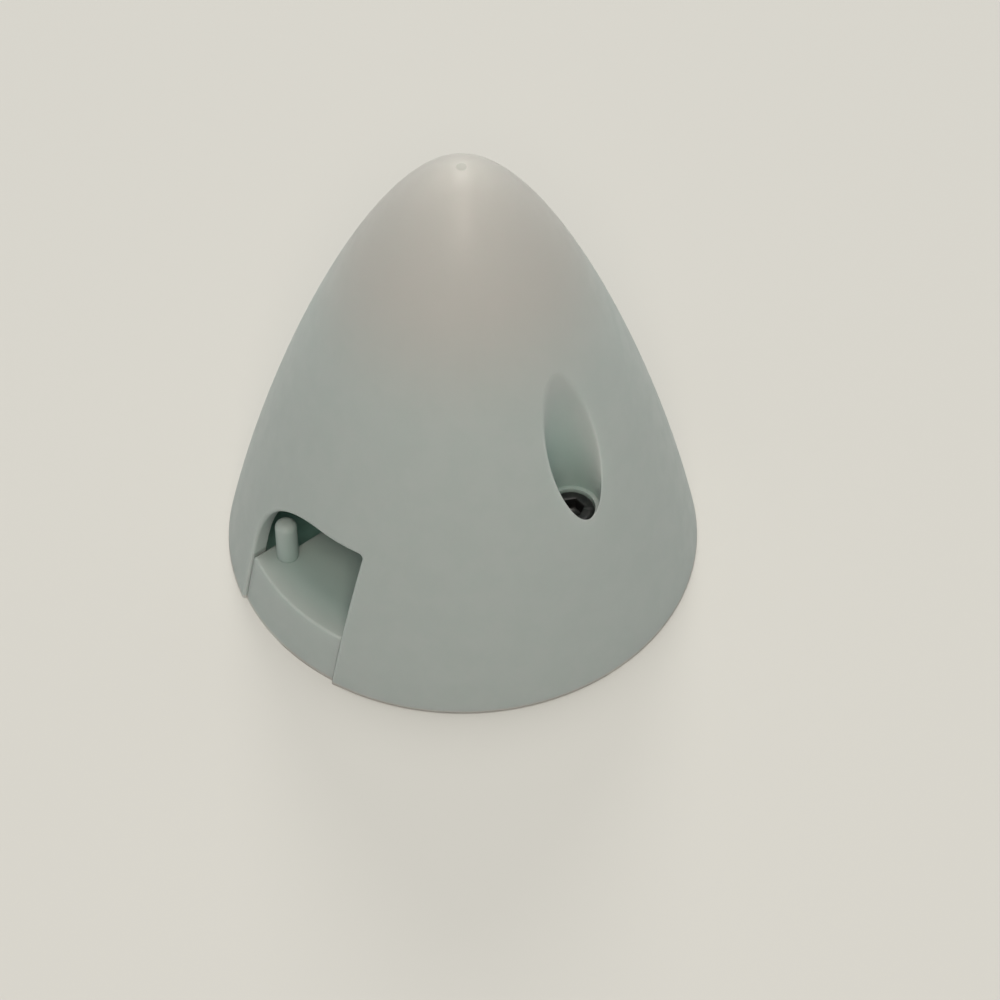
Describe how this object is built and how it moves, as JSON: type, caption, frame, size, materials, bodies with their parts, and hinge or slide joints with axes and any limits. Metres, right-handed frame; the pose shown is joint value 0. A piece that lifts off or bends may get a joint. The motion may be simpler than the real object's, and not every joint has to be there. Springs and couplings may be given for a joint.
{
  "type": "propeller spinner",
  "caption": "Hollow ogive propeller spinner with blade slots, screw wells, a backplate that drives the blades, cap screws and a shaft adapter ring.",
  "frame": {"origin": "centre of the backplate's rear face, on the crankshaft axis", "axes": "+Z forward along the crankshaft axis to the tip of the nose, blade slots at -X and +X, screws at -Y and +Y"},
  "size_m": [0.0624, 0.0636, 0.0662],
  "materials": {
    "white_nylon": "moulded satin white nylon with a cool green cast",
    "black_oxide_steel": "black oxide on alloy steel",
    "black_nylon": "moulded black nylon"
  },
  "bodies": {
    "root": {"nose_cone": "white_nylon", "backplate": "white_nylon", "cap_screw_a": "black_oxide_steel", "cap_screw_b": "black_oxide_steel", "adapter_ring": "black_nylon"}
  },
  "joints": []
}
